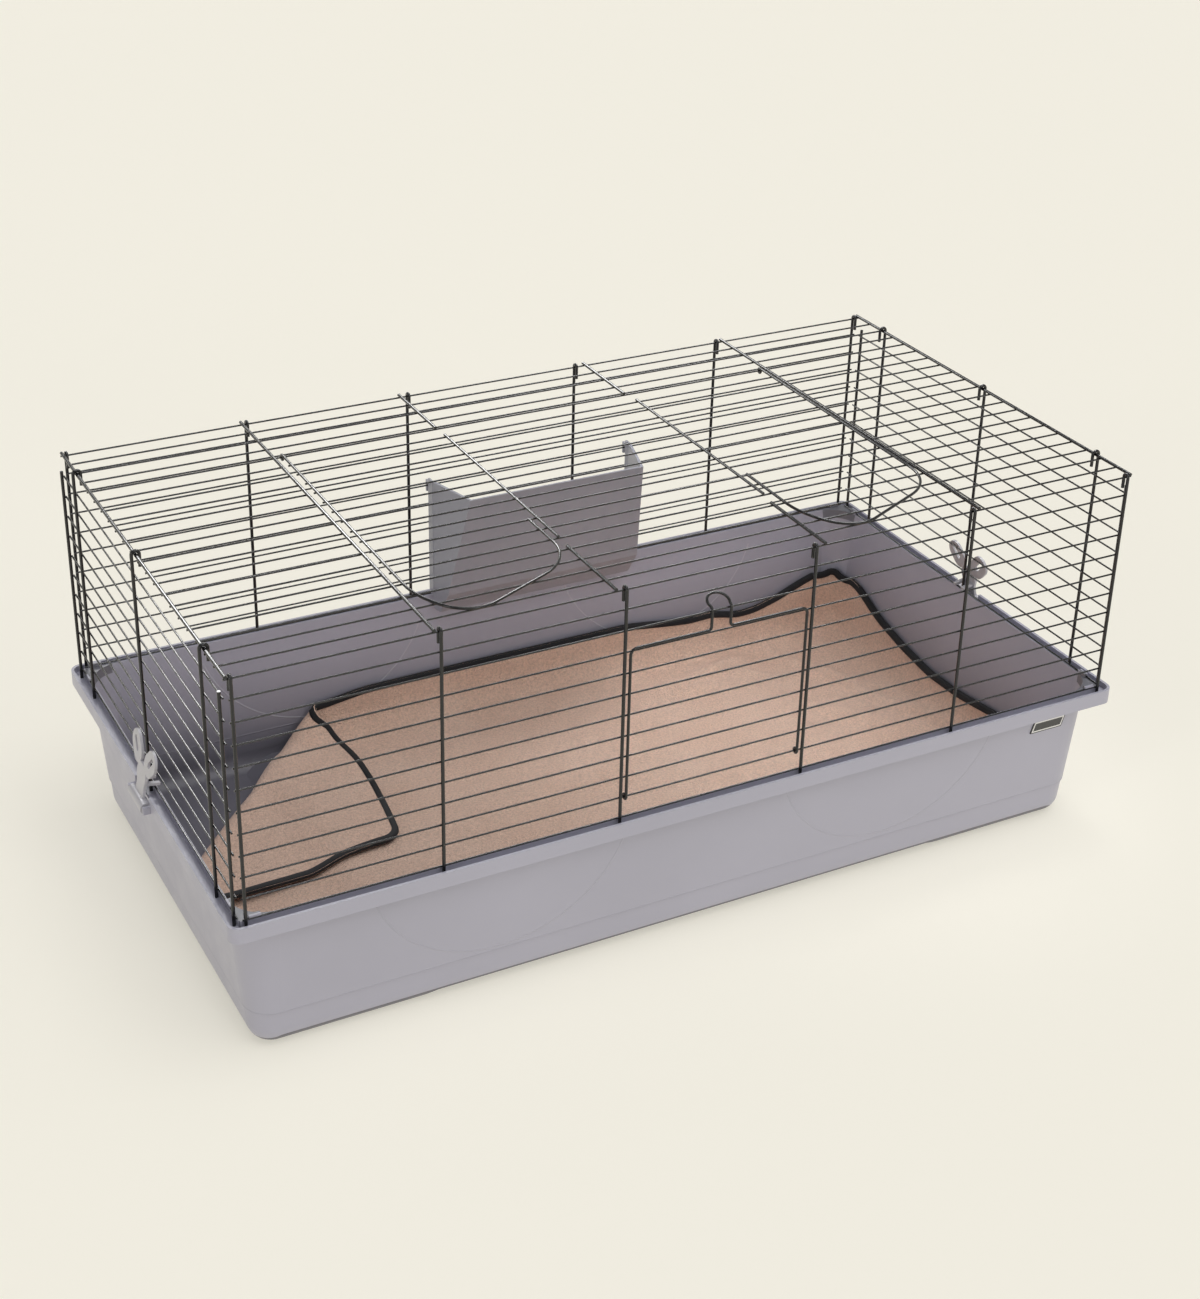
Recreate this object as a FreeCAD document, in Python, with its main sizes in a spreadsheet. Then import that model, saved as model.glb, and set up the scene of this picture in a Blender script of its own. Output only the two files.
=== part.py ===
import FreeCAD, Part

import math
import os

import Sketcher

# Rabbit hutch: a deep moulded tub, a wire cage standing in the channel of its rim, a drop-down
# front door, a lift-up top door, two side clips, a hay rack hung on the back wires and a fleece
# liner on the floor. Millimetres. The origin is on the ground under the middle of the tub,
# +X runs along the long side, +Y points to the back and +Z is up.

Vector = FreeCAD.Vector
Rotation = FreeCAD.Rotation
Placement = FreeCAD.Placement

doc = FreeCAD.newDocument("rabbit_hutch")

# ---------------------------------------------------------------- driving dimensions

SIZES = {
    # tub
    "rim_top": 192.0,
    "rim_half_x": 581.0,
    "rim_half_y": 306.6,
    "rim_corner": 14.0,
    "rim_lip": 3.5,
    "rim_skirt": 19.0,
    "channel_width": 10.0,
    "channel_depth": 8.0,
    "ledge_plate": 3.0,
    "wall": 3.2,
    "wall_corner": 44.0,
    "step_height": 50.0,
    "step_inset": 1.5,
    "draft_angle": 4.6,
    "base_round": 25.0,
    "arch_half": 335.0,
    "arch_ramp": 40.0,
    "arch_rise": 12.0,
    "notch_half": 26.0,
    "lug": 4.0,
    "catch_x": 550.0,
    "catch_y": 262.0,
    "catch_length": 13.0,
    "catch_depth": 8.0,
    "catch_plate": 2.4,
    "catch_gap": 0.6,
    # wires
    "thin_wire": 2.2,
    "thick_wire": 4.0,
    "door_wire": 3.4,
    "running_gap": 0.08,
    "swing_gap": 0.5,
    # cage
    "top_height": 483.0,
    "upright_y": 297.0,
    "edge_bar_x": 566.0,
    "first_rung": 459.1,
    "rung_pitch": 26.6,
    "hook_leg": 15.0,
    "hook_gap": 0.4,
    "end_upright_x": 561.0,
    "mid_upright_x": 336.0,
    "door_upright_x": 120.0,
    "side_upright_y": 230.0,
    "corner_upright_y": 286.0,
    "corner_upright_top": 467.0,
    "main_bar_x": 343.0,
    "stub_bar_x": 132.0,
    "rung_stub": 2.0,
    "panel_overhang": 0.5,
    # front door
    "door_half": 113.0,
    "door_top": 410.5,
    "door_corner": 8.0,
    "latch_half": 12.2,
    "latch_lean": 68.0,
    "latch_knee": 4.0,
    "latch_bend": 5.0,
    "latch_flare": 18.0,
    "latch_rise": 0.5,
    # top door
    "lid_left": 331.0,
    "lid_right": 337.0,
    "lid_bar_half": 133.5,
    "lid_stub": 2.5,
    "loop_start": 188.0,
    "loop_wide_bend": 110.0,
    "loop_tight_bend": 42.0,
    "loop_front_run": 82.3,
    "loop_last_bend": 75.0,
    "loop_free_run": 61.0,
    "loop_width": 190.0,
    "loop_end": 162.0,
    "loop_free_end": 88.0,
    # clips
    "pivot_x": 584.5,
    "pivot_height": 177.0,
    "pivot_pin": 4.4,
    "pivot_gap": 0.06,
    "barrel": 14.0,
    "barrel_half": 24.0,
    "clip_lean": 10.0,
    "clip_plate": 3.2,
    "ear_width": 28.0,
    "ear_length": 40.0,
    "ear_root": 10.0,
    "ear_foot": 42.0,
    "ear_spread": 42.0,
    "ear_slot": 6.5,
    "ear_slot_length": 20.0,
    "ear_slot_end": 7.0,
    "nose_width": 5.0,
    "nose_inner": 5.5,
    "nose_height": 3.4,
    "nose_gap": 0.8,
    # hay rack
    "rack_middle": 52.5,
    "rack_back": 279.0,
    "rack_wall": 2.6,
    "rack_half": 147.5,
    "rack_depth": 74.0,
    "rack_bend_depth": 36.0,
    "rack_low_depth": 12.0,
    "rack_cheek_slant": 21.5,
    "rack_bend": 212.0,
    "rack_hook_gap": 0.4,
    "rack_hook_height": 5.0,
    "rack_lip_drop": 11.0,
    "rack_lip": 3.3,
    "rack_top": 364.0,
    "rack_bottom": 176.0,
    # liner
    "liner_half_x": 515.0,
    "liner_front": 250.0,
    "liner_back": 263.0,
    "liner_riser": 62.0,
    "liner_pile": 6.0,
    "binding": 8.0,
    # badge
    "badge_x": 493.0,
    "badge_length": 52.0,
    "badge_height": 17.0,
    "badge_slant": 4.0,
    "badge_thickness": 1.6,
    "badge_drop": 18.0,
}

sizes = doc.addObject("Spreadsheet::Sheet", "sizes")
for row, (alias, value) in enumerate(SIZES.items(), start=1):
    sizes.set(f"A{row}", alias)
    sizes.set(f"B{row}", str(value))
    sizes.setAlias(f"B{row}", alias)
doc.recompute()


def size(alias):
    """The value of one driving dimension, as the sheet holds it."""
    return float(getattr(sizes, alias))


def bind(thing, **expressions):
    """Tie properties of an object to expressions of the sheet's cells; '_' stands for a dot."""
    for prop, expression in expressions.items():
        thing.setExpression(prop.replace("__", "."), expression)
    return thing


THIN = "sizes.thin_wire / 2"
THICK = "sizes.thick_wire / 2"
DOOR = "sizes.door_wire / 2"
thin = size("thin_wire") / 2
thick = size("thick_wire") / 2
door_wire = size("door_wire") / 2

ALONG_X = Rotation(Vector(0, 1, 0), 90)
ALONG_Y = Rotation(Vector(1, 0, 0), -90)
ALONG_Z = Rotation()

subparts = []


def group(name, pieces):
    """One sub-part made of several separate solids."""
    node = doc.addObject("Part::Compound", name)
    node.Links = pieces
    node.Label = name
    subparts.append(node)
    return node


def keep(node, name):
    """Give a finished object its sub-part name."""
    node.Label = name
    subparts.append(node)
    return node


# ---------------------------------------------------------------- wires

def rod(name, radius, start, along, length):
    """A straight round wire from a start point."""
    wire = doc.addObject("Part::Cylinder", name)
    wire.Placement = Placement(Vector(*start), along)
    if isinstance(length, str):
        bind(wire, Radius=radius, Height=length)
    else:
        bind(wire, Radius=radius)
        wire.Height = length
    return wire


def bend(name, radius, centre, turn, bend_radius, sweep):
    """A bent length of round wire: an arc about centre, in the plane that turn makes of XY."""
    arc = doc.addObject("Part::Torus", name)
    arc.Placement = Placement(Vector(*centre), turn)
    arc.Radius1 = bend_radius
    bind(arc, Radius2=radius)
    arc.Angle3 = sweep
    return arc


def fuse(name, pieces):
    joined = doc.addObject("Part::MultiFuse", name)
    joined.Shapes = pieces
    return joined


def wire_run(name, radius, frame, start, heading, steps):
    """Lengths and bends of one wire, end to end in the XY plane of a frame.

    A step is ("run", length) or ("turn", bend radius, degrees), positive to the left."""
    pieces = []
    point = Vector(start[0], start[1], 0)
    for step, (kind, amount, *angle) in enumerate(steps):
        label = f"{name}_{step}"
        ahead = Vector(math.cos(math.radians(heading)), math.sin(math.radians(heading)), 0)
        if kind == "run":
            turn = Rotation(Vector(0, 0, 1), ahead)
            piece = rod(label, radius, (0, 0, 0), ALONG_Z, amount)
            piece.Placement = frame.multiply(Placement(point, turn))
            point = point + ahead * amount
        else:
            side = math.copysign(1, angle[0])
            left = Vector(-ahead.y, ahead.x, 0) * side
            centre = point + left * amount
            first = heading - 90 * side if side > 0 else heading + 90 + angle[0]
            piece = bend(label, radius, (0, 0, 0), ALONG_Z, amount, abs(angle[0]))
            piece.Placement = frame.multiply(Placement(centre, Rotation(Vector(0, 0, 1), first)))
            heading += angle[0]
            out = math.radians(heading - 90 * side)
            point = centre + Vector(math.cos(out), math.sin(out), 0) * amount
        pieces.append(piece)
    return pieces


# ---------------------------------------------------------------- cage panels

hook_front = thin + size("hook_gap") + thick   # bend radius of a hook round a top wire
hook_side = 2 * thick + size("hook_gap")       # bend radius of a hook round a top edge bar
edge_y = size("upright_y") - hook_front  # the front and back edge wires of the top panel
foot = size("rim_top") - size("channel_depth")
top = size("top_height")
bar_z = top + thin + thick               # the bars lie on the top wires
side_x = size("edge_bar_x") + hook_side  # the side uprights
rung_y = size("upright_y") - thick - thin
rung_x = side_x - thick - thin
RUNGS = 11
DOOR_ROWS = range(3, 9)                  # the rungs cut out for the front door


def rung_z(index):
    return size("first_rung") - index * size("rung_pitch")


def hooked_upright(name, x, y, hook_z, radius, inward):
    """An upright whose top is bent over a wire of the top panel, with a short leg inside."""
    leg = rod(f"{name}_leg", THICK, (x, y, foot), ALONG_Z, hook_z - foot)
    inner = Vector(x, y, hook_z) + inward * (2 * radius)
    centre = Vector(x, y, hook_z) + inward * radius
    turn = Rotation(inward * -1, Vector(0, 0, 1), Vector(), "XYZ")
    arc = bend(f"{name}_arc", THICK, centre, turn, radius, 180)
    end = rod(f"{name}_end", THICK, inner - Vector(0, 0, size("hook_leg")), ALONG_Z, "sizes.hook_leg")
    return fuse(name, [leg, arc, end])


def long_panel(side, sign):
    """The uprights and rungs of the front (sign -1) or back (sign 1) panel."""
    stations = [size("end_upright_x"), size("mid_upright_x"), size("door_upright_x")]
    uprights = []
    for x in sorted([-station for station in stations] + stations):
        name = f"{side}_upright_{len(uprights)}"
        y = sign * size("upright_y")
        uprights.append(hooked_upright(name, x, y, top, hook_front, Vector(0, -sign, 0)))
    group(f"{side}_panel_uprights", uprights)
    reach = size("end_upright_x") + thick + size("panel_overhang")
    opening = size("door_upright_x") - thick
    rungs = []
    for index in range(RUNGS):
        y = sign * rung_y
        if side == "front" and index in DOOR_ROWS:
            spans = [(-reach, -opening), (opening, reach)]
        else:
            spans = [(-reach, reach)]
        for start, end in spans:
            name = f"{side}_rung_{len(rungs)}"
            rungs.append(rod(name, THIN, (start, y, rung_z(index)), ALONG_X, end - start))
    group(f"{side}_panel_rungs", rungs)


def side_panel(side, sign):
    """The uprights and rungs of the left (sign -1) or right (sign 1) panel."""
    uprights = []
    for y in (-size("side_upright_y"), 0, size("side_upright_y")):
        name = f"{side}_upright_{len(uprights)}"
        upright = hooked_upright(name, sign * side_x, y, bar_z, hook_side, Vector(-sign, 0, 0))
        uprights.append(upright)
    for y in (-size("corner_upright_y"), size("corner_upright_y")):
        name = f"{side}_upright_{len(uprights)}"
        height = size("corner_upright_top") - foot
        uprights.append(rod(name, THICK, (sign * side_x, y, foot), ALONG_Z, height))
    group(f"{side}_panel_uprights", uprights)
    reach = size("corner_upright_y") + thick + size("panel_overhang")
    rungs = []
    for index in range(RUNGS):
        name = f"{side}_rung_{index}"
        start = (sign * rung_x, -reach, rung_z(index))
        rungs.append(rod(name, THIN, start, ALONG_Y, 2 * reach))
    group(f"{side}_panel_rungs", rungs)


TOP_WIRES = 22
top_pitch = 2 * edge_y / (TOP_WIRES - 1)
LID_WIRES = 12                             # of the top wires, those cut out for the top door
lid_back = top_pitch * (LID_WIRES + 1) / 2  # the fixed wire that the top door hinges on


def top_wire_y(index):
    return edge_y - index * top_pitch


def top_panel():
    """The top's long wires, whole or cut out for the door, and the bars lying on them."""
    reach = size("edge_bar_x") + thick
    inner = size("main_bar_x") - thick
    wires = []
    for index in range(TOP_WIRES):
        y = top_wire_y(index)
        spans = [(-reach, reach)]
        if abs(y) < lid_back - top_pitch / 2:
            spans = [(-reach, -inner), (inner, reach)]
        for start, end in spans:
            name = f"top_wire_{len(wires)}"
            wires.append(rod(name, THIN, (start, y, top), ALONG_X, end - start))
    group("top_panel_wires", wires)
    over = edge_y + thick
    bars = []
    for x in (-size("edge_bar_x"), -size("main_bar_x"), size("main_bar_x"), size("edge_bar_x")):
        bars.append(rod(f"top_bar_{len(bars)}", THICK, (x, -over, bar_z), ALONG_Y, 2 * over))
    stub = over - lid_back + thick
    for x in (-size("stub_bar_x"), size("stub_bar_x")):
        for start in (-over, lid_back - thick):
            bars.append(rod(f"top_bar_{len(bars)}", THICK, (x, start, bar_z), ALONG_Y, stub))
    group("top_panel_bars", bars)


# ---------------------------------------------------------------- front door

eye_radius = thin + size("running_gap") + door_wire
door_y = -(rung_y + thin + size("swing_gap") + door_wire)
door_hinge_z = rung_z(9)


def hinge_eye(name, centre):
    """The closed eye of a door wire round a long wire that runs along X."""
    return bend(name, DOOR, centre, ALONG_X, eye_radius, 360)


def front_door():
    """A bent frame with an eye at each lower end, a latch loop on top and short rungs."""
    half = size("door_half")
    corner = size("door_corner")
    sides = []
    for name, x in (("left", -half), ("right", half)):
        height = size("door_top") - corner - door_hinge_z
        leg = rod(f"door_leg_{name}", DOOR, (x, door_y, door_hinge_z), ALONG_Z, height)
        eye = hinge_eye(f"door_eye_{name}", (x, -rung_y, door_hinge_z))
        sides.append(fuse(f"door_side_{name}", [leg, eye]))
    upright_plane = Placement(Vector(0, door_y, 0), Rotation(Vector(1, 0, 0), 90))
    neck = size("latch_half")
    knee = size("latch_knee")
    top_run = half - corner - neck - knee
    bend_z = rung_z(1) + size("latch_rise")
    stem = bend_z - size("door_top") - knee
    bars = []
    for name, flip in (("left", 0), ("right", 180)):
        mirror = Placement(Vector(0, 2 * door_y * (flip > 0), 0), Rotation(Vector(0, 0, 1), flip))
        frame = mirror.multiply(upright_plane)
        start = (-half, size("door_top") - corner)
        steps = [("turn", corner, -90), ("run", top_run), ("turn", knee, 90), ("run", stem)]
        bars += wire_run(f"door_top_{name}", DOOR, frame, start, 90, steps)
    # The latch bends inwards over the second rung from the top and ends in an open ring.
    lean = size("latch_lean")
    over = size("latch_bend")
    reach_in = over * (1 - math.cos(math.radians(lean)))
    ring_z = bend_z + over * math.sin(math.radians(lean))
    inwards = Rotation(Vector(0, -1, 0), Vector(0, 0, 1), Vector(-1, 0, 0), "XYZ")
    ring_frame = Placement(Vector(0, door_y + reach_in, ring_z), Rotation(Vector(1, 0, 0), 90 - lean))
    flare = size("latch_flare")
    slant = math.cos(math.radians(flare))
    ring = (neck + over * (1 - slant)) / slant
    sweep = ("turn", ring, -(180 + 2 * flare) / 4)
    steps = [("turn", over, flare), sweep, sweep, sweep, sweep, ("turn", over, flare)]
    ring_bars = wire_run("latch_ring", DOOR, ring_frame, (-neck, 0), 90, steps)
    stems = []
    for name, x, lower, upper in (("left", -neck, bars[3], ring_bars[0]),
                                  ("right", neck, bars[7], ring_bars[5])):
        elbow = bend(f"latch_elbow_{name}", DOOR, (x, door_y + over, bend_z), inwards, over, lean)
        stems.append(fuse(f"latch_{name}", [lower, elbow, upper]))
    bars = bars[:3] + bars[4:7] + ring_bars[1:5] + stems
    group("front_door_frame", sides + bars)
    rungs = []
    reach = half + door_wire + size("rung_stub")
    for index in DOOR_ROWS:
        start = (-reach, door_y + door_wire + thin, rung_z(index))
        rungs.append(rod(f"door_rung_{index}", THIN, start, ALONG_X, 2 * reach))
    group("front_door_rungs", rungs)


# ---------------------------------------------------------------- top door

lid_z = top + thin + size("swing_gap") + door_wire


def half_moon(name, start_x, first_run, last_run):
    """A long side wire with its half-moon loop, lying over the front of the top panel."""
    plane = Placement(Vector(0, 0, lid_z), Rotation())
    steps = [
        ("run", first_run),
        ("turn", size("loop_wide_bend"), 35),
        ("turn", size("loop_tight_bend"), 40),
        ("turn", size("loop_tight_bend"), 40),
        ("run", size("loop_front_run")),
        ("turn", size("loop_last_bend"), 65),
        ("run", last_run),
    ]
    start = (start_x, first_run - size("loop_start"))
    return wire_run(name, DOOR, plane, start, -90, steps)


def top_door():
    """Two side wires with their eyes and loops, two bars and twelve short wires."""
    left = -size("lid_left")
    right = size("lid_right")
    long_run = lid_back + size("loop_start")
    pieces = half_moon("lid_left_wire", left, long_run, size("loop_free_run"))
    pieces += half_moon("lid_right_wire", right - size("loop_width"), size("loop_free_end"),
                        lid_back + size("loop_end"))
    left_eye = hinge_eye("lid_eye_left", (left, lid_back, top))
    right_eye = hinge_eye("lid_eye_right", (right, lid_back, top))
    long_left = fuse("lid_left_side", [pieces[0], left_eye])
    long_right = fuse("lid_right_side", [pieces[-1], right_eye])
    group("top_door_side_wires", [long_left, long_right] + pieces[1:-1])
    middle = (left + right) / 2
    reach = top_pitch * (LID_WIRES - 1) / 2 + door_wire
    bars = []
    for index, x in enumerate((middle - size("lid_bar_half"), middle + size("lid_bar_half"))):
        bars.append(rod(f"lid_bar_{index}", DOOR, (x, -reach, lid_z), ALONG_Y, 2 * reach))
    group("top_door_bars", bars)
    wires = []
    for index in range(LID_WIRES):
        y = top_pitch * (index - (LID_WIRES - 1) / 2)
        start = (left - size("lid_stub"), y, lid_z - door_wire - thin)
        length = right - left + 2 * size("lid_stub")
        wires.append(rod(f"lid_wire_{index}", THIN, start, ALONG_X, length))
    group("top_door_wires", wires)


# ---------------------------------------------------------------- sketches

def plane_of(body, role):
    return next(plane for plane in body.Origin.OriginFeatures if plane.Role == role)


def new_body(name):
    body = doc.addObject("PartDesign::Body", name)
    body.Label = name
    return body


def sketch_on(body, name, role, offset="0"):
    """A sketch on one of the body's own planes, lifted along its normal."""
    sketch = body.newObject("Sketcher::SketchObject", name)
    sketch.AttachmentSupport = [(plane_of(body, role), "")]
    sketch.MapMode = "FlatFace"
    sketch.setExpression("AttachmentOffset.Base.z", offset)
    return sketch


def rounded_outline(sketch, half_x, half_y, corner):
    """A centred rectangle with round corners; its three sizes are expressions."""
    hx, hy, radius = (sketch_value(value) for value in (half_x, half_y, corner))
    lines = []
    arcs = []
    quarter = math.pi / 2
    for index in range(4):
        sx = (1, -1, -1, 1)[index]
        sy = (1, 1, -1, -1)[index]
        centre = Vector(sx * (hx - radius), sy * (hy - radius), 0)
        circle = Part.Circle(centre, Vector(0, 0, 1), radius)
        arc = Part.ArcOfCircle(circle, index * quarter, (index + 1) * quarter)
        arcs.append(sketch.addGeometry(arc))
    ends = [
        ((hx - radius, hy), (radius - hx, hy)),
        ((-hx, hy - radius), (-hx, radius - hy)),
        ((radius - hx, -hy), (hx - radius, -hy)),
        ((hx, radius - hy), (hx, hy - radius)),
    ]
    for start, end in ends:
        lines.append(sketch.addGeometry(Part.LineSegment(Vector(*start, 0), Vector(*end, 0))))
    add = sketch.addConstraint
    for index in range(4):
        add(Sketcher.Constraint("Tangent", arcs[index], 2, lines[index], 1))
        add(Sketcher.Constraint("Tangent", lines[index], 2, arcs[(index + 1) % 4], 1))
        if index:
            add(Sketcher.Constraint("Equal", arcs[0], arcs[index]))
    add(Sketcher.Constraint("Horizontal", lines[0]))
    add(Sketcher.Constraint("Vertical", lines[1]))
    add(Sketcher.Constraint("Symmetric", arcs[0], 3, arcs[2], 3, -1, 1))
    for value, constraint in (
        (corner, Sketcher.Constraint("Radius", arcs[0], radius)),
        (half_x, Sketcher.Constraint("DistanceX", -1, 1, arcs[0], 1, hx)),
        (half_y, Sketcher.Constraint("DistanceY", -1, 1, arcs[0], 2, hy)),
    ):
        number = add(constraint)
        sketch.setExpression(f"Constraints[{number}]", value)
    return sketch


def sketch_value(expression):
    """The number that a sheet expression stands for."""
    return float(sizes.evalExpression(expression))


def outline(sketch, points):
    """A closed outline of straight lines through points."""
    count = len(points)
    for index, point in enumerate(points):
        after = points[(index + 1) % count]
        sketch.addGeometry(Part.LineSegment(Vector(*point, 0), Vector(*after, 0)))
    for index in range(count):
        sketch.addConstraint(Sketcher.Constraint("Coincident", index, 2, (index + 1) % count, 1))
        sketch.addConstraint(Sketcher.Constraint("Block", index))
    return sketch


def pad(body, name, sketch, length, reverse=False, symmetric=False):
    feature = body.newObject("PartDesign::Pad", name)
    feature.Profile = sketch
    feature.Reversed = reverse
    feature.Midplane = symmetric
    feature.setExpression("Length", length)
    return feature


def cut(body, name, sketch, length, reverse=False, symmetric=False):
    """A pocket that has to remove material."""
    before = volume_of(body)
    feature = body.newObject("PartDesign::Pocket", name)
    feature.Profile = sketch
    feature.Reversed = reverse
    feature.Midplane = symmetric
    feature.setExpression("Length", length)
    if not volume_of(body) < before:
        raise RuntimeError(f"{name} cuts nothing")
    return feature


def volume_of(body):
    doc.recompute()
    return body.Shape.Volume


def loft(body, name, first, second, kind="PartDesign::AdditiveLoft"):
    feature = body.newObject(kind, name)
    feature.Profile = first
    feature.Sections = [second]
    feature.Ruled = True
    return feature


def drafted(feature):
    """Make a pad or pocket narrow downwards by the mould's draft."""
    feature.setExpression("TaperAngle", "-sizes.draft_angle")
    doc.recompute()
    return feature


def edges_at(shape, height):
    """Names of the edges that lie wholly at one height."""
    names = []
    for number, edge in enumerate(shape.Edges, start=1):
        box = edge.BoundBox
        if abs(box.ZMin - height) < 0.01 and abs(box.ZMax - height) < 0.01:
            names.append(f"Edge{number}")
    return names


def round_edges(body, name, base, names, radius):
    feature = body.newObject("PartDesign::Fillet", name)
    feature.Base = (base, names)
    feature.setExpression("Radius", radius)
    doc.recompute()
    return feature


def block(body, name, corner, length, width, height):
    feature = body.newObject("PartDesign::AdditiveBox", name)
    feature.Placement = Placement(Vector(*corner), Rotation())
    feature.Length = length
    feature.Width = width
    feature.Height = height
    return feature


# ---------------------------------------------------------------- tub

rim_width = size("rim_lip") + size("channel_width") - 0.5
wall_top_y = size("rim_half_y") - rim_width
draft_slope = math.tan(math.radians(size("draft_angle")))
step_draft = draft_slope * (size("rim_top") - size("step_height")) + size("step_inset")


def tub():
    """The moulded tub: tapered walls with a step, a rolled rim with a channel, two clip bars."""
    body = new_body("tub_outside")
    core = new_body("tub_inside")

    def section(name, height, inward, corner, body=body):
        sketch = sketch_on(body, name, "XY_Plane", height)
        half_x = f"sizes.rim_half_x - {inward}"
        half_y = f"sizes.rim_half_y - {inward}"
        return rounded_outline(sketch, half_x, half_y, corner)

    inset = "(sizes.rim_lip + sizes.channel_width - 0.5)"
    low = section("step_outline", "sizes.step_height", f"({inset} + {step_draft})",
                  f"sizes.wall_corner - {step_draft}")
    low_pad = drafted(pad(body, "base", low, "sizes.step_height", reverse=True))
    base_edges = edges_at(low_pad.Shape, 0)
    round_edges(body, "base_rounding", low_pad, base_edges, "sizes.base_round")
    wall = section("wall_outline", "sizes.rim_top", inset, "sizes.wall_corner")
    drafted(pad(body, "walls", wall, "sizes.rim_top - sizes.step_height", reverse=True))
    rim = section("rim_outline", "sizes.rim_top", "0", "sizes.rim_corner")
    pad(body, "rim", rim, "sizes.rim_skirt", reverse=True)
    # the inside: a tapered core with a round floor edge
    mouth = section("mouth_outline", "sizes.rim_top", f"({inset} + sizes.wall)",
                    "sizes.wall_corner - sizes.wall", core)
    core_pad = drafted(pad(core, "core", mouth, "sizes.rim_top - sizes.wall", reverse=True))
    floor = edges_at(core_pad.Shape, size("wall"))
    round_edges(core, "core_rounding", core_pad, floor, "sizes.base_round - sizes.wall")
    # the rim's channel for the cage, and its hollow underside
    channel = section("channel_outline", "sizes.rim_top", "sizes.rim_lip",
                      "sizes.rim_corner - sizes.rim_lip")
    rounded_outline(channel, "sizes.rim_half_x - sizes.rim_lip - sizes.channel_width",
                    "sizes.rim_half_y - sizes.rim_lip - sizes.channel_width", "4")
    cut(body, "channel", channel, "sizes.channel_depth")
    skirt = sketch_on(body, "skirt_outline", "XY_Plane", "sizes.rim_top - sizes.rim_skirt")
    rounded_outline(skirt, "sizes.rim_half_x - sizes.rim_lip + 0.5",
                    "sizes.rim_half_y - sizes.rim_lip + 0.5", "sizes.rim_corner - sizes.rim_lip")
    rounded_outline(skirt, f"sizes.rim_half_x - {inset}", f"sizes.rim_half_y - {inset}",
                    "sizes.wall_corner")
    cut(body, "skirt_hollow", skirt,
        "sizes.rim_skirt - sizes.channel_depth - sizes.ledge_plate", reverse=True)
    # the middle of the floor is raised, so the tub stands on its two ends
    for shape, name, bottom in ((body, "arch", 0.0), (core, "platform", size("wall"))):
        half = size("arch_half")
        ramp_end = half + size("arch_ramp")
        crown = bottom + size("arch_rise")
        arch = sketch_on(shape, f"{name}_outline", "XZ_Plane")
        outline(arch, [(-ramp_end, bottom - 1), (ramp_end, bottom - 1), (ramp_end, bottom),
                       (half, crown), (-half, crown), (-ramp_end, bottom)])
        cut(shape, name, arch, "2 * sizes.rim_half_y", symmetric=True)
    # clip bars in notches of the rim's skirt
    for side, sign in (("left", -1), ("right", 1)):
        notch = sketch_on(body, f"{side}_notch_outline", "XY_Plane", "sizes.rim_top + 1")
        inner = sign * (size("rim_half_x") - size("rim_lip") - 0.5)
        outer = sign * (size("rim_half_x") + 5)
        half_notch = size("notch_half")
        outline(notch, [(inner, -half_notch), (outer, -half_notch), (outer, half_notch),
                        (inner, half_notch)])
        cut(body, f"{side}_notch", notch, "sizes.rim_skirt + 2")
        lug = size("lug")
        for y in (-half_notch - lug, half_notch):
            name = f"{side}_lug_{'front' if y < 0 else 'back'}"
            x = sign * size("pivot_x") - 5
            block(body, name, (x, y, size("pivot_height") - 4), 10, lug, 9)
        pin = body.newObject("PartDesign::AdditiveCylinder", f"{side}_clip_bar")
        pin.Placement = Placement(
            Vector(sign * size("pivot_x"), -half_notch - 1, size("pivot_height")), ALONG_Y)
        bind(pin, Radius="sizes.pivot_pin / 2")
        pin.Height = 2 * half_notch + 2
    # catches near the corners hook over the lowest wires
    wire_top = rung_z(RUNGS - 1) + thin + size("catch_gap")
    root_z = size("rim_top") - size("catch_depth")
    plate = size("catch_plate")
    length = size("catch_length")
    for corner, (east, north) in enumerate(((-1, -1), (1, -1), (1, 1), (-1, 1))):
        for way, wire, along in (("long", rung_y, east * size("catch_x")),
                                 ("end", rung_x, north * size("catch_y"))):
            sign = north if way == "long" else east
            post = sorted((sign * (wire - thin - 0.3), sign * (wire - thin - 0.3 - plate)))
            lip = sorted((sign * (wire + thin + 0.3), sign * (wire - thin - 0.3 - plate)))
            start = along - length / 2
            for piece, (near, far), low, high in (("post", post, root_z, wire_top + plate),
                                                  ("lip", lip, wire_top, wire_top + plate)):
                name = f"catch_{way}_{corner}_{piece}"
                if way == "long":
                    block(body, name, (start, near, low), length, far - near, high - low)
                else:
                    block(body, name, (near, start, low), far - near, length, high - low)
    shell = doc.addObject("Part::Cut", "tub")
    shell.Base = body
    shell.Tool = core
    doc.recompute()
    return keep(shell, "tub")


def badge():
    """A plain slanted plate on the front wall, under the rim."""
    body = new_body("badge_plate")
    sketch = sketch_on(body, "badge_outline", "XZ_Plane")
    half = size("badge_length") / 2
    height = size("badge_height") / 2
    slant = size("badge_slant")
    outline(sketch, [(-half, -height), (half - slant, -height), (half, height), (slant - half, height)])
    pad(body, "badge", sketch, "sizes.badge_thickness")
    centre_z = size("rim_top") - size("rim_skirt") - size("badge_drop")
    face_y = wall_top_y - draft_slope * (size("rim_top") - centre_z)
    body.Placement = Placement(Vector(size("badge_x"), -face_y - 0.02, centre_z),
                               Rotation(Vector(1, 0, 0), size("draft_angle")))
    body.setExpression("Placement.Base.x", "sizes.badge_x")
    return keep(body, "badge_plate")


# ---------------------------------------------------------------- clips

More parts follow.
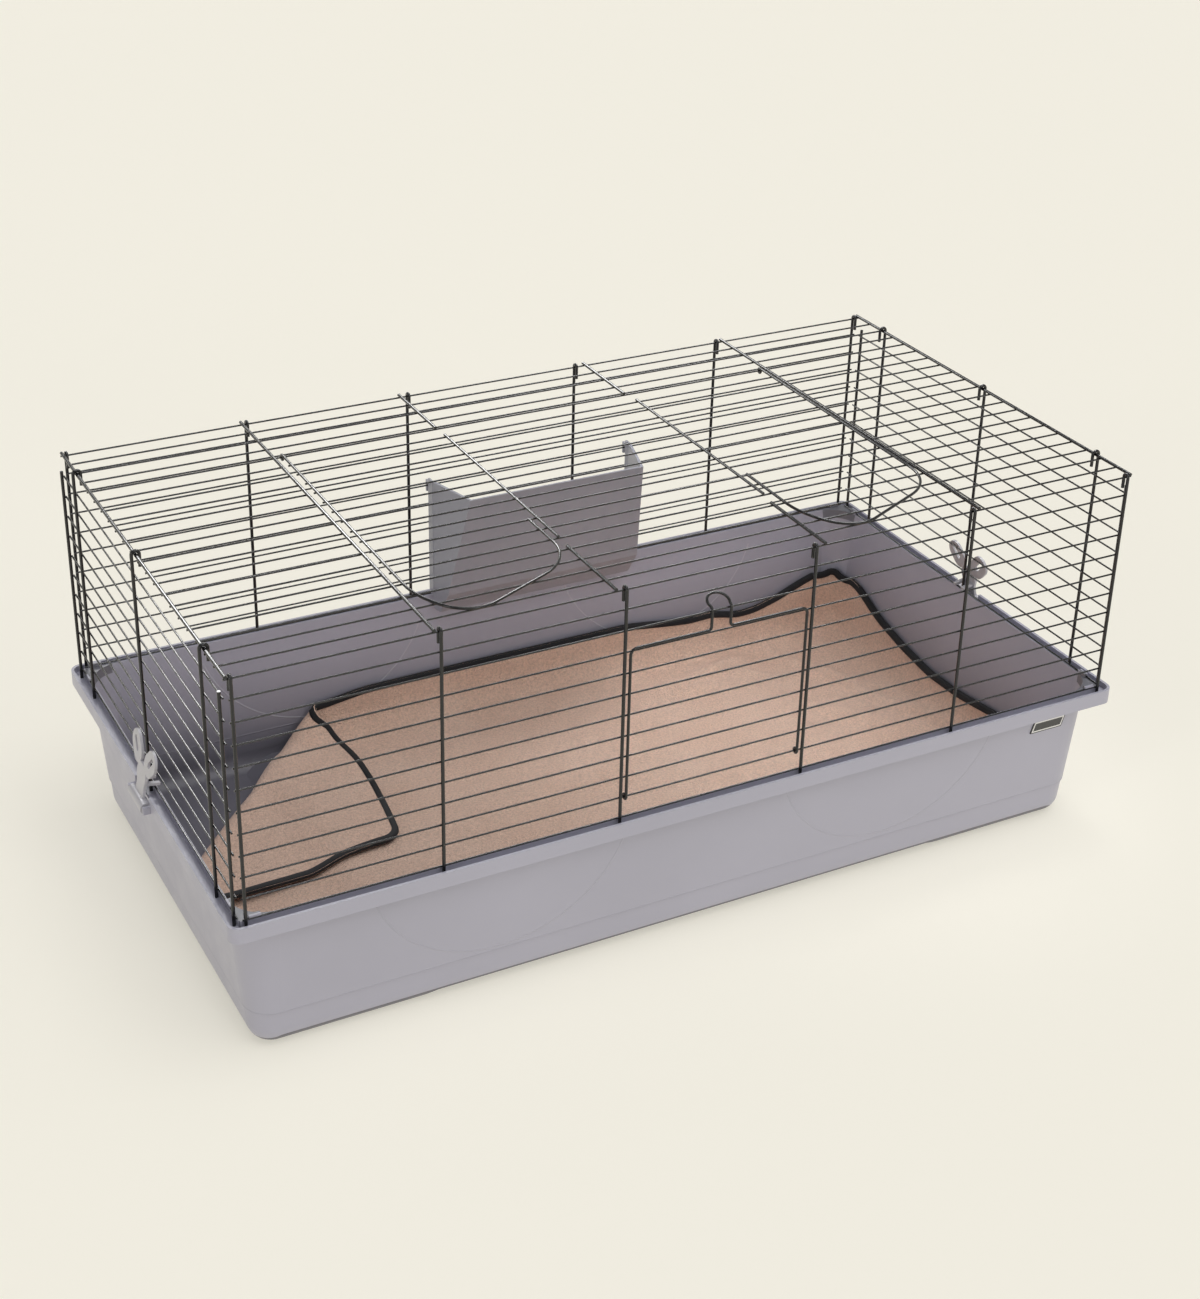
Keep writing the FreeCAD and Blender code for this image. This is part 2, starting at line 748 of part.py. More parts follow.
def clip(side, sign):
    """A rabbit-eared spring clip: a barrel on the tub's bar, a leaning plate and two noses."""
    name = f"{side}_clip"
    body = new_body(name)
    reach = size("barrel_half")

    def plate_sketch(label):
        return sketch_on(body, f"{label}_{side}", "YZ_Plane", "-sizes.clip_plate / 2")

    neck = plate_sketch("neck")
    heel, waist, shoulder, crest = (13, 3), (12, 20), (16, 32), (12, 46)
    right_edge = [heel, waist, shoulder, crest]
    left_edge = [(-half, height) for half, height in reversed(right_edge)]
    outline(neck, right_edge + left_edge)
    pad(body, f"neck_pad_{side}", neck, "sizes.clip_plate")
    ear_half = size("ear_width") / 2
    slot_half = size("ear_slot") / 2
    slot_low = size("ear_length") - size("ear_slot_end") - size("ear_slot_length")
    slot_high = size("ear_length") - size("ear_slot_end")
    for ear, spread in (("front", -1), ("back", 1)):
        frame = Rotation(Vector(0, 0, 1), -spread * size("ear_spread"))
        root = Vector(spread * size("ear_root"), size("ear_foot"), 0)
        sketch = stadium(plate_sketch(f"ear_{ear}"), root, frame, ear_half, 0, size("ear_length"))
        pad(body, f"ear_pad_{ear}_{side}", sketch, "sizes.clip_plate")
        sketch = stadium(plate_sketch(f"slot_{ear}"), root, frame, slot_half, slot_low, slot_high)
        cut(body, f"slot_cut_{ear}_{side}", sketch, "sizes.clip_plate", reverse=True)
    barrel = body.newObject("PartDesign::AdditiveCylinder", f"barrel_{side}")
    barrel.Placement = Placement(Vector(0, -reach, 0), ALONG_Y)
    bind(barrel, Radius="sizes.barrel / 2")
    barrel.Height = 2 * reach
    lean = math.radians(size("clip_lean"))
    nose_reach = size("pivot_x") - rung_x + 1.5
    above_pivot = rung_z(RUNGS - 1) + thin + size("nose_gap") - size("pivot_height")
    low = (above_pivot + nose_reach * math.sin(lean)) / math.cos(lean)
    inner = size("nose_inner")
    width = size("nose_width")
    for index, y in enumerate((-inner - width, inner)):
        corner = (-nose_reach, y, low)
        block(body, f"nose_{index}_{side}", corner, nose_reach, width, size("nose_height"))
    bore = body.newObject("PartDesign::SubtractiveCylinder", f"bore_{side}")
    bore.Placement = Placement(Vector(0, -reach - 1, 0), ALONG_Y)
    bind(bore, Radius="sizes.pivot_pin / 2 + sizes.pivot_gap")
    bore.Height = 2 * reach + 2
    spin = Rotation(Vector(0, 0, 1), 0 if sign > 0 else 180)
    tilt = Rotation(Vector(0, 1, 0), -size("clip_lean"))
    body.Placement = Placement(Vector(sign * size("pivot_x"), 0, size("pivot_height")),
                               spin.multiply(tilt))
    body.setExpression("Placement.Base.z", "sizes.pivot_height")
    return keep(body, name)


def stadium(sketch, origin, frame, half, bottom, tip):
    """A slot outline with round ends between two heights over origin, turned by frame."""
    def place(x, y):
        return origin + frame.multVec(Vector(x, y, 0))

    low = bottom + half
    high = tip - half
    first = place(1, 0) - place(0, 0)
    turn = math.atan2(first.y, first.x)
    normal = Vector(0, 0, 1)
    ends = ((low, math.pi, 2 * math.pi), (high, 0, math.pi))
    for y, start, stop in ends:
        circle = Part.Circle(place(0, y), normal, half)
        sketch.addGeometry(Part.ArcOfCircle(circle, start + turn, stop + turn))
    sketch.addGeometry(Part.LineSegment(place(half, low), place(half, high)))
    sketch.addGeometry(Part.LineSegment(place(-half, high), place(-half, low)))
    for index in range(4):
        sketch.addConstraint(Sketcher.Constraint("Block", index))
    return sketch


# ---------------------------------------------------------------- hay rack

def hay_rack():
    """An open-topped pocket hung on the back wires: a leaning front, two cheeks, a low floor."""
    body = new_body("hay_rack")
    middle = size("rack_middle")
    back = size("rack_back")
    wall = size("rack_wall")
    half = size("rack_half")
    # each level's height, half width at the back, half width at the front and depth
    levels = [
        ("low", size("rack_bottom"), half - 1.5, half - 5.5, size("rack_low_depth")),
        ("bend", size("rack_bend"), half - 0.5, half - 5.5, size("rack_bend_depth")),
        ("top", size("rack_top"), half, half - size("rack_cheek_slant"), size("rack_depth")),
    ]

    def level_sketch(prefix, level, shrink, open_back, lift=0.0):
        name, height, half_back, half_front, depth = level
        sketch = sketch_on(body, f"{prefix}_{name}", "XY_Plane", str(height + lift))
        rear = back + (2 * wall if open_back else 0)
        front = back - depth + shrink
        outline(sketch, [(middle - half_back + shrink, rear), (middle - half_front + shrink, front),
                         (middle + half_front - shrink, front), (middle + half_back - shrink, rear)])
        return sketch

    outer = [level_sketch("rack", level, 0, False) for level in levels]
    loft(body, "rack_low", outer[0], outer[1])
    loft(body, "rack_high", outer[1], outer[2])
    inner = [level_sketch("hay", level, wall, True, lift)
             for level, lift in zip(levels, (wall, 0.0, 0.5))]
    loft(body, "hay_low", inner[0], inner[1], "PartDesign::SubtractiveLoft")
    loft(body, "hay_high", inner[1], inner[2], "PartDesign::SubtractiveLoft")
    # above the rim the cheeks reach back to the wires, and end in hooks over the fifth rung
    hook_z = rung_z(4) + thin + size("rack_hook_gap")
    lip = size("rack_lip")
    lip_y = rung_y + 2 * thin
    cheek_low = size("rim_top") + 5
    cheek_back = rung_y - thin - 1.4
    lip_low = hook_z - size("rack_lip_drop")
    for side, x in (("left", middle - half), ("right", middle + half - wall)):
        block(body, f"{side}_cheek", (x, back - 1, cheek_low), wall, cheek_back - back + 1,
              size("rack_top") - cheek_low)
        block(body, f"{side}_hook", (x, back + 6, hook_z), wall, lip_y + lip - back - 6,
              size("rack_hook_height"))
        block(body, f"{side}_lip", (x, lip_y, lip_low), wall, lip, hook_z + 2 - lip_low)
    doc.recompute()
    return keep(body, "hay_rack")


# ---------------------------------------------------------------- liner

def liner():
    """The fleece liner: a soft mat on the floor whose back edge rides up the wall."""
    pile = size("liner_pile")
    floor = size("wall") + size("arch_rise") + 0.6
    front = -size("liner_front")
    back = size("liner_back")
    riser = floor + size("liner_riser")
    heel_y, knee_y, knee_rise = back - 31, back - 6, 22
    bottom = [(front, floor), (heel_y, floor), (knee_y, floor + knee_rise), (back, riser)]
    upper = [(back - pile, riser + 0.5), (knee_y - pile, floor + knee_rise + 3),
             (heel_y - 3, floor + pile), (front, floor + pile)]
    body = new_body("fleece_liner")
    sketch = sketch_on(body, "liner_profile", "YZ_Plane")
    outline(sketch, bottom + upper)
    pad(body, "liner", sketch, "2 * sizes.liner_half_x", symmetric=True)
    keep(body, "fleece_liner")
    # the binding tape round the liner's four edges
    width = size("binding")
    reach = size("liner_half_x")
    strips = []
    for side, x in (("left", -reach - width), ("right", reach)):
        end = new_body(f"binding_{side}")
        profile = sketch_on(end, f"binding_profile_{side}", "YZ_Plane", str(x))
        outline(profile, bottom + upper)
        pad(end, f"binding_pad_{side}", profile, "sizes.binding")
        strips.append(end)
    for side, y, z in (("front", front - width, floor), ("back", back - pile, riser + 0.5)):
        strip = doc.addObject("Part::Box", f"binding_{side}")
        strip.Placement = Placement(Vector(-reach, y, z), Rotation())
        bind(strip, Length="2 * sizes.liner_half_x")
        strip.Width = width if side == "front" else pile
        strip.Height = pile if side == "front" else width
        strips.append(strip)
    group("liner_binding", strips)


# ---------------------------------------------------------------- the whole hutch

tub()
badge()
long_panel("front", -1)
long_panel("back", 1)
side_panel("left", -1)
side_panel("right", 1)
top_panel()
front_door()
top_door()
clip("left", -1)
clip("right", 1)
hay_rack()
liner()

doc.recompute()
for item in doc.Objects:
    if "Invalid" in item.State or "Error" in item.State:
        raise RuntimeError(f"{item.Name} did not build: {item.State}")
os.makedirs("parts", exist_ok=True)
for node in subparts:
    shape = node.Shape
    if shape.isNull() or not shape.isValid():
        raise RuntimeError(f"{node.Label} has no valid shape")
    shape.exportStep(f"parts/{node.Label}.step")
    print(node.Label, len(shape.Solids), round(shape.Volume / 1000, 1))
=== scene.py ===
import math

import bpy
import numpy as np
from mathutils import Matrix, Vector


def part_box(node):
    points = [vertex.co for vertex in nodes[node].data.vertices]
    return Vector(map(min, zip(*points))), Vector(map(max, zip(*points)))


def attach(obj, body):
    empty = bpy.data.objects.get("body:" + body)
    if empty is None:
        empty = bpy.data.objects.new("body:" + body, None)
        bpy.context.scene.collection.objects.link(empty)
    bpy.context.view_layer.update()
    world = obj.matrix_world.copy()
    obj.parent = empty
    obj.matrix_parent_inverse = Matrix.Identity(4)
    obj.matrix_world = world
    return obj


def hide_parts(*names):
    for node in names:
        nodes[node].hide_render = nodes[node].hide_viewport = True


# Rabbit hutch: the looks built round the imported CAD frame. Metres; +X along the long side, +Y to the
# back, +Z up, origin on the ground under the middle of the tub.

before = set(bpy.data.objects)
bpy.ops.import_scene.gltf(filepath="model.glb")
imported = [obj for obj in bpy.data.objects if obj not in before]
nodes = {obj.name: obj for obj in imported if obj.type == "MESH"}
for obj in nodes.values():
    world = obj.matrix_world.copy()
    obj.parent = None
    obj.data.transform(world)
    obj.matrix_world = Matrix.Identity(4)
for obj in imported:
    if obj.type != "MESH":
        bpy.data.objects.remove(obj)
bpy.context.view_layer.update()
ROOT = "tub_and_cage"


# The tub's inner shape in millimetres: half sizes at the rim, run down to height 0 along the leaning
# walls, and the radius of its upright corners at height 0, which grows by a share of the height.
DRAFT = math.radians(4.6)
WALL_SLOPE = math.tan(DRAFT)
RIM_HEIGHT = 192
INNER_X = 564.8 - WALL_SLOPE * RIM_HEIGHT
INNER_Y = 290.4 - WALL_SLOPE * RIM_HEIGHT
INNER_CORNER = 29.0
CORNER_GROWTH = 0.0805
MM = 0.001


# ------------------------------------------------------------------ shader helpers

class Shader:
    """A node material with a Principled shader and short ways to add nodes."""

    def __init__(self, name, **values):
        self.material = bpy.data.materials.new(name)
        self.material.use_nodes = True
        self.tree = self.material.node_tree
        self.bsdf = self.tree.nodes["Principled BSDF"]
        for socket, value in values.items():
            self.bsdf.inputs[socket.replace("_", " ")].default_value = value
        self.coord = self.add("ShaderNodeTexCoord").outputs["Object"]

    def add(self, kind, **settings):
        node = self.tree.nodes.new(kind)
        for key, value in settings.items():
            setattr(node, key, value)
        return node

    def link(self, source, target):
        self.tree.links.new(source, target)

    def put(self, value, target):
        """Link an output, or set a plain value."""
        if isinstance(value, bpy.types.NodeSocket):
            self.link(value, target)
        else:
            target.default_value = value

    def math(self, operation, first, second=0.0, clamp=False):
        node = self.add("ShaderNodeMath", operation=operation, use_clamp=clamp)
        self.put(first, node.inputs[0])
        self.put(second, node.inputs[1])
        return node.outputs[0]

    def noise(self, scale, detail=3.0, roughness=0.5, stretch=None):
        node = self.add("ShaderNodeTexNoise")
        node.inputs["Scale"].default_value = scale
        node.inputs["Detail"].default_value = detail
        node.inputs["Roughness"].default_value = roughness
        self.link(self.stretched(stretch), node.inputs["Vector"])
        return node.outputs["Fac"]

    def cells(self, scale, stretch=None):
        node = self.add("ShaderNodeTexVoronoi")
        node.inputs["Scale"].default_value = scale
        self.link(self.stretched(stretch), node.inputs["Vector"])
        return node.outputs["Distance"]

    def stretched(self, stretch):
        if stretch is None:
            return self.coord
        node = self.add("ShaderNodeMapping")
        node.inputs["Scale"].default_value = stretch
        self.link(self.coord, node.inputs["Vector"])
        return node.outputs["Vector"]

    def axes(self):
        node = self.add("ShaderNodeSeparateXYZ")
        self.link(self.coord, node.inputs[0])
        return node.outputs

    def ramp(self, factor, low, high, dark, light):
        node = self.add("ShaderNodeValToRGB")
        node.color_ramp.elements[0].position = low
        node.color_ramp.elements[1].position = high
        node.color_ramp.elements[0].color = (*dark, 1)
        node.color_ramp.elements[1].color = (*light, 1)
        self.link(factor, node.inputs["Fac"])
        return node.outputs["Color"]

    def blend(self, factor, first, second):
        node = self.add("ShaderNodeMix", data_type="RGBA")
        self.put(factor, node.inputs[0])
        self.put(first, node.inputs[6])
        self.put(second, node.inputs[7])
        return node.outputs[2]

    def spread(self, factor, low, high, start=0.3, end=0.7):
        node = self.add("ShaderNodeMapRange")
        self.link(factor, node.inputs["Value"])
        node.inputs["From Min"].default_value = start
        node.inputs["From Max"].default_value = end
        node.inputs["To Min"].default_value = low
        node.inputs["To Max"].default_value = high
        return node.outputs["Result"]

    def bump(self, height, strength, distance, onto=None):
        node = self.add("ShaderNodeBump")
        node.inputs["Strength"].default_value = strength
        node.inputs["Distance"].default_value = distance
        self.link(height, node.inputs["Height"])
        if onto is not None:
            self.link(onto, node.inputs["Normal"])
        return node.outputs["Normal"]

    def color(self, value):
        self.link(value, self.bsdf.inputs["Base Color"])

    def rough(self, value):
        self.link(value, self.bsdf.inputs["Roughness"])

    def normal(self, value):
        self.link(value, self.bsdf.inputs["Normal"])


def tint(color, factor):
    return tuple(channel * factor for channel in color)


# ------------------------------------------------------------------ materials

def moulded_plastic(name, color, rough_low, rough_high):
    """Satin injection-moulded plastic: faint flow mottling, a fine spark-eroded grain."""
    shader = Shader(name, IOR=1.49)
    clouds = shader.noise(3.0, 4.0, 0.55)
    shader.color(shader.ramp(clouds, 0.3, 0.72, tint(color, 0.955), tint(color, 1.035)))
    shader.rough(shader.spread(shader.noise(26.0, 3.0, 0.6), rough_low, rough_high))
    grain = shader.bump(shader.noise(1700.0, 2.0, 0.6), 0.10, 0.00022)
    shader.normal(shader.bump(shader.noise(9.0, 2.0, 0.5), 0.05, 0.004, grain))
    return shader


ARC_CENTRES = ((-0.262, 0.215, 0.160), (0.255, 0.215, 0.157))    # x, z and radius of the moulded arcs
ARC_TOP = 0.165                      # the arcs end here, below the rim
PARTING_HEIGHT = 0.0502              # the walls' step, where the mould parted
PAINTED_SHADE_TOP = 0.17                      # painted shade darkens the inside below this height
PAINTED_SHADE_DEPTH = 0.15                    # and is darkest this far below it
SHELF_HEIGHT = 0.180                 # the shelves in the mouth's corners are above this
MASK_MARGIN = 0.0006                 # the inside's mask reaches this far into the wall


def line_where(shader, distance, sharpness):
    """1 on the line where a distance is 0, falling to 0 beside it."""
    return shader.math("SUBTRACT", 1.0, shader.math("MULTIPLY", shader.math("ABSOLUTE", distance),
                                                    sharpness), clamp=True)


def moulded_arcs(shader, x, z):
    arcs = None
    for centre_x, centre_z, radius in ARC_CENTRES:
        dx = shader.math("SUBTRACT", x, centre_x)
        dz = shader.math("SUBTRACT", z, centre_z)
        squares = shader.math("ADD", shader.math("MULTIPLY", dx, dx), shader.math("MULTIPLY", dz, dz))
        ring = line_where(shader, shader.math("SUBTRACT", shader.math("SQRT", squares), radius), 700.0)
        arcs = ring if arcs is None else shader.math("MAXIMUM", arcs, ring)
    return shader.math("MULTIPLY", arcs, shader.math("LESS_THAN", z, ARC_TOP))


def tub_zones(shader, x, y, z):
    """Masks of the tub's inside, and of the small shelves in the mouth's square corners: where painted shade
    and painted highlights go.
    """
    corner = shader.math("ADD", shader.math("MULTIPLY", z, CORNER_GROWTH), INNER_CORNER * MM)
    past = []                        # squared distance past the straight part of each wall
    for axis, half in ((x, INNER_X * MM), (y, INNER_Y * MM)):
        wall = shader.math("ADD", shader.math("MULTIPLY", z, WALL_SLOPE), half)
        straight = shader.math("SUBTRACT", wall, corner)
        beyond = shader.math("SUBTRACT", shader.math("ABSOLUTE", axis), straight)
        past.append(shader.math("POWER", shader.math("MAXIMUM", beyond, 0.0), 2.0))
    far = shader.math("SQRT", shader.math("ADD", past[0], past[1]))
    inside = shader.math("LESS_THAN", far, shader.math("ADD", corner, MASK_MARGIN))
    shelf_shade = shader.math("MULTIPLY", shader.math("SUBTRACT", 1.0, inside),
                        shader.math("GREATER_THAN", z, SHELF_HEIGHT))
    shelf_reach = 0.0465             # how far the shelves reach past the straight part
    for beyond in past:
        shelf_shade = shader.math("MULTIPLY", shelf_shade, shader.math("LESS_THAN", beyond, shelf_reach ** 2))
        shelf_shade = shader.math("MULTIPLY", shelf_shade, shader.math("GREATER_THAN", beyond, 0.0))
    return inside, shelf_shade


def tub_plastic():
    """The tub's plastic: painted shade darkens the inside towards the floor and on the mouth's corner
    shelves, painted highlights pale the arcs inside, with the mould's parting line and shallow arcs.
    """
    shader = moulded_plastic("tub_plastic", (0.428, 0.421, 0.500), 0.30, 0.42)
    x, y, z = shader.axes()
    arcs = moulded_arcs(shader, x, z)
    parting = line_where(shader, shader.math("SUBTRACT", z, PARTING_HEIGHT), 750.0)
    inside, shelf_shade = tub_zones(shader, x, y, z)
    depth = shader.math("DIVIDE", shader.math("SUBTRACT", PAINTED_SHADE_TOP, z), PAINTED_SHADE_DEPTH, clamp=True)
    depth = shader.math("POWER", depth, 1.6)
    layers = (                       # mask, strength and colour, each over the one before
        # painted shade: the inside darkens towards the floor, where less light reaches
        (shader.math("MULTIPLY", inside, depth), 0.95, (0.118, 0.114, 0.136, 1.0)),
        # painted highlight: a pale line along the arcs inside the tub
        (shader.math("MULTIPLY", arcs, inside), 0.5, (0.62, 0.61, 0.66, 1.0)),
        # painted shade on the small shelves in the mouth's square corners, in the catches' shadow
        (shelf_shade, 0.75, (0.10, 0.10, 0.11, 1.0)),
        (parting, 0.15, (0.22, 0.21, 0.24, 1.0)),
    )
    shade = shader.bsdf.inputs["Base Color"].links[0].from_socket
    for mask, strength, color in layers:
        shade = shader.blend(shader.math("MULTIPLY", mask, strength), shade, color)
    shader.color(shade)
    grain = shader.bsdf.inputs["Normal"].links[0].from_socket
    shader.normal(shader.bump(shader.math("MAXIMUM", arcs, parting), 0.5, 0.0010, grain))
    return shader.material


def wire_lacquer():
    """Glossy black lacquer on steel wire, a little uneven along its length."""
    shader = Shader("wire_lacquer", Metallic=0.0, IOR=1.45, Coat_Weight=0.3, Coat_Roughness=0.05)
    wear = shader.noise(60.0, 4.0, 0.6)
    shader.color(shader.ramp(wear, 0.35, 0.75, (0.004, 0.004, 0.005), (0.011, 0.011, 0.012)))
    shader.rough(shader.spread(shader.noise(180.0, 2.0), 0.14, 0.26))
    shader.normal(shader.bump(shader.noise(420.0, 2.0), 0.12, 0.0003))
    return shader.material


def fleece_pile():
    """Short-pile fleece: clumped tufts, a soft sheen and slow changes of shade where the pile lies."""
    shader = Shader("fleece_pile", Sheen_Weight=0.25, Sheen_Roughness=0.45, IOR=1.4, Roughness=0.95,
                    Specular_IOR_Level=0.15)
    tan = (0.790, 0.555, 0.437)
    tufts = shader.cells(520.0)
    clumps = shader.noise(330.0, 3.0, 0.7)
    lay = shader.noise(11.0, 3.0, 0.6)
    fine = shader.ramp(clumps, 0.34, 0.66, tint(tan, 0.66), tint(tan, 1.16))
    broad = shader.ramp(lay, 0.30, 0.72, (0.735, 0.495, 0.378), (0.81, 0.605, 0.490))
    shader.color(shader.blend(0.35, fine, broad))
    nap = shader.bump(tufts, 0.6, 0.0018)
    shader.normal(shader.bump(clumps, 0.8, 0.0022, nap))
    return shader.material


def tape_weave():
    """Black binding tape with a fine twill."""
    shader = Shader("tape_weave", IOR=1.45, Sheen_Weight=0.08, Sheen_Roughness=0.5,
                    Specular_IOR_Level=0.25)
    weave = shader.noise(900.0, 2.0, 0.5)
    shader.color(shader.ramp(weave, 0.3, 0.7, (0.010, 0.010, 0.011), (0.026, 0.026, 0.029)))
    shader.rough(shader.spread(weave, 0.7, 0.9))
    shader.normal(shader.bump(weave, 0.5, 0.0006))
    return shader.material


def badge_face():
    """A dark label with a pale outline and no lettering."""
    low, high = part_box("badge_plate")
    centre = (low + high) / 2
    half_x = (high.x - low.x) / 2
    half_z = (high.z - low.z) / 2
    lean = 0.004                     # how far the plate's top is offset along x from its bottom
    slant = lean / (2 * half_z)
    shader = Shader("badge_face", Roughness=0.3, Coat_Weight=0.5, Coat_Roughness=0.1)
    x, _, z = shader.axes()
    up = shader.math("SUBTRACT", z, centre.z)
    across = shader.math("SUBTRACT", x, centre.x)
    across = shader.math("SUBTRACT", across, shader.math("MULTIPLY", up, slant))
    margin_z = shader.math("SUBTRACT", half_z, shader.math("ABSOLUTE", up))
    margin_x = shader.math("SUBTRACT", half_x - lean / 2, shader.math("ABSOLUTE", across))
    margin = shader.math("MINIMUM", margin_x, margin_z)
    outer = shader.math("LESS_THAN", margin, 0.0030)
    inner = shader.math("GREATER_THAN", margin, 0.0012)
    line = shader.math("MULTIPLY", outer, inner)
    shade = shader.ramp(shader.noise(90.0), 0.3, 0.7, (0.018, 0.018, 0.020), (0.028, 0.028, 0.031))
    shader.color(shader.blend(line, shade, (0.80, 0.79, 0.78, 1.0)))
    return shader.material


materials = {
    "tub": tub_plastic(),
    "wire": wire_lacquer(),
    "rack": moulded_plastic("rack_plastic", (0.345, 0.350, 0.412), 0.30, 0.44).material,
    "clip": moulded_plastic("clip_plastic", (0.50, 0.49, 0.53), 0.28, 0.40).material,
    "fleece": fleece_pile(),
    "tape": tape_weave(),
    "badge": badge_face(),
}
finish_of = {"tub": "tub", "badge_plate": "badge", "hay_rack": "rack", "left_clip": "clip",
             "right_clip": "clip"}
for name, node in nodes.items():
    node.data.materials.clear()
    node.data.materials.append(materials[finish_of.get(name, "wire")])


# ------------------------------------------------------------------ the fleece liner
#
# The liner is a flat cut sheet laid in the tub. A point of the cut has flat coordinates (u, v), which
# are x and y where the sheet lies on the floor. Past the floor's edge the sheet curves up the wall,
# and the back left corner is folded over. All lengths here are millimetres until the mesh is made.

CUT_LENGTH = 560.0                   # front to back
CUT_LEFT = -586.0
CUT_WIDTH = 1176.0
THICKNESS = 5.0
HALF = THICKNESS / 2
CURVE = 45.0                         # the radius in which the sheet turns up the wall
LEAN = math.pi / 2 - DRAFT           # how far the sheet turns to lie along the wall
FLOOR_EDGE = 25.8                    # the radius between the tub's floor and its walls
FLOOR_LEVEL = 8                      # a middling height of the tub's floor
BED = 0.6                            # the gap under the sheet
FOLD_BACK = np.array([-262.0, 313.0])    # where the fold meets the back edge
FOLD_LEFT = np.array([CUT_LEFT, -43.0])    # where the fold meets the left edge
ROLL = 11.3                              # radius of the fold
FLAP_LAYER = THICKNESS + 1.6             # how high the flap lies over the sheet below, far from the fold
SETTLE_REACH = 75.0                      # how soon it comes down to that
EDGE_REACH = 90.0                        # how far in from the flap's edges their bow is felt


def smooth(value, low, high):
    part = np.clip((value - low) / (high - low), 0, 1)
    return part * part * (3 - 2 * part)


def floor_height(x):
    """The tub's inner floor: raised in the middle, lower at both ends."""
    middle, drop = 15.2, 12.0
    return middle - drop * smooth(np.abs(x), 330.0, 392.0)


def rise(run):
    """How far in and how far up a strip goes, that far along it past the floor's edge."""
    arc = np.clip(run, 0, CURVE * LEAN)
    rest = np.clip(run - CURVE * LEAN, 0, None)
    across = CURVE * np.sin(arc / CURVE) + rest * math.cos(LEAN)
    up = CURVE * (1 - np.cos(arc / CURVE)) + rest * math.sin(LEAN)
    return across, up


def turn_start(half_size):
    """Where the sheet leaves the floor, for a wall that far from the middle at the floor."""
    gap = 1.0
    wall = half_size + WALL_SLOPE * FLOOR_LEVEL - HALF - gap
    return wall + WALL_SLOPE * CURVE * (1 - math.cos(LEAN)) - CURVE * math.sin(LEAN)


START_X = turn_start(INNER_X)
START_Y = turn_start(INNER_Y)


def back_edge(u):
    """The flat coordinate v of the back edge at u: it climbs the wall by different amounts."""
    at = [-586, -269, -204, 191, 240, 289, 398, 441, 475, 505, 540, 575, 601]
    reach = [308, 312, 321, 323, 316, 310, 315, 326, 339, 349, 343, 332, 326]
    return np.interp(u, at, reach)


def right_edge(v):
    """The flat coordinate u of the right edge at v."""
    at = [-300, -131, -44, 27, 90, 157, 216, 245, 280, 310, 335]
    reach = [585, 591, 580, 578, 586, 601, 624, 624, 615, 606, 600]
    return np.interp(v, at, reach)


def soften(function, positions, width=20.0):
    """A function's value averaged over a width, so that its corners are round."""
    offsets = np.linspace(-width, width, 9)
    weights = np.cos(offsets / width * 1.4)
    total = sum(weight * function(positions + offset) for offset, weight in zip(offsets, weights))
    return total / weights.sum()


# shallow folds of the cloth: middle u, middle v, direction in degrees, length, width, height
RIDGES = (
    (300.0, 205.0, 14.0, 85.0, 11.0, 7.5),
    (352.0, 178.0, -24.0, 70.0, 10.0, 6.5),
    (262.0, 168.0, -12.0, 60.0, 13.0, 5.0),
    (450.0, 150.0, -62.0, 95.0, 11.0, 8.0),
    (478.0, 66.0, -70.0, 90.0, 10.0, 8.0),
    (515.0, 10.0, -82.0, 80.0, 11.0, 7.0),
    (505.0, 232.0, 48.0, 60.0, 18.0, 8.0),
    (430.0, 30.0, -50.0, 80.0, 14.0, 5.5),
    (-120.0, 235.0, 8.0, 120.0, 18.0, 3.5),
    (40.0, 228.0, -6.0, 110.0, 16.0, 3.5),
    (-60.0, 40.0, 24.0, 130.0, 22.0, 3.0),
    (150.0, -20.0, -18.0, 140.0, 20.0, 3.0),
    (-330.0, -90.0, 10.0, 110.0, 20.0, 3.5),
)


def wrinkles(u, v):
    """The cloth's height over its bed: slow waves and the shallow folds, which are slightly curved."""
    height = 0.7 + 0.7 * np.sin(u / 61.0 + 1.3 * np.sin(v / 83.0)) * np.sin(v / 47.0 + 0.8)
    for middle_u, middle_v, degrees, length, width, rise_mm in RIDGES:
        angle = math.radians(degrees)
        along = (u - middle_u) * math.cos(angle) + (v - middle_v) * math.sin(angle)
        aside = (v - middle_v) * math.cos(angle) - (u - middle_u) * math.sin(angle)
        aside = aside - 0.0016 * along * along
        height = height + rise_mm * np.exp(-(along / length) ** 2 - (aside / width) ** 2)
    return height


def keep_inside(points, clearance):
    """Push points into the tub's inner shape: leaning walls, a round floor edge, round corners."""
    least_corner = 5.0
    x, y, z = points.T.copy()
    low = floor_height(x) + clearance
    z = np.maximum(z, low)
    above = z - floor_height(x)
    bite = np.sqrt(np.clip(FLOOR_EDGE ** 2 - (FLOOR_EDGE - above) ** 2, 0, None))
    tuck = np.where(above < FLOOR_EDGE, FLOOR_EDGE - bite, 0)
    half_x = INNER_X + WALL_SLOPE * z - tuck - clearance
    half_y = INNER_Y + WALL_SLOPE * z - tuck - clearance
    corner = np.maximum(INNER_CORNER + CORNER_GROWTH * z - tuck - clearance, least_corner)
    out_x = np.abs(x) - (half_x - corner)
    out_y = np.abs(y) - (half_y - corner)
    both = (out_x > 0) & (out_y > 0)
    far = np.hypot(out_x, out_y)
    scale = np.where(both & (far > corner), corner / np.maximum(far, 1e-6), 1.0)
    x = np.where(both, np.sign(x) * (half_x - corner + out_x * scale), x)
    y = np.where(both, np.sign(y) * (half_y - corner + out_y * scale), y)
    x = np.clip(x, -half_x, half_x)
    y = np.clip(y, -half_y, half_y)
    return np.stack([x, y, z], axis=1)


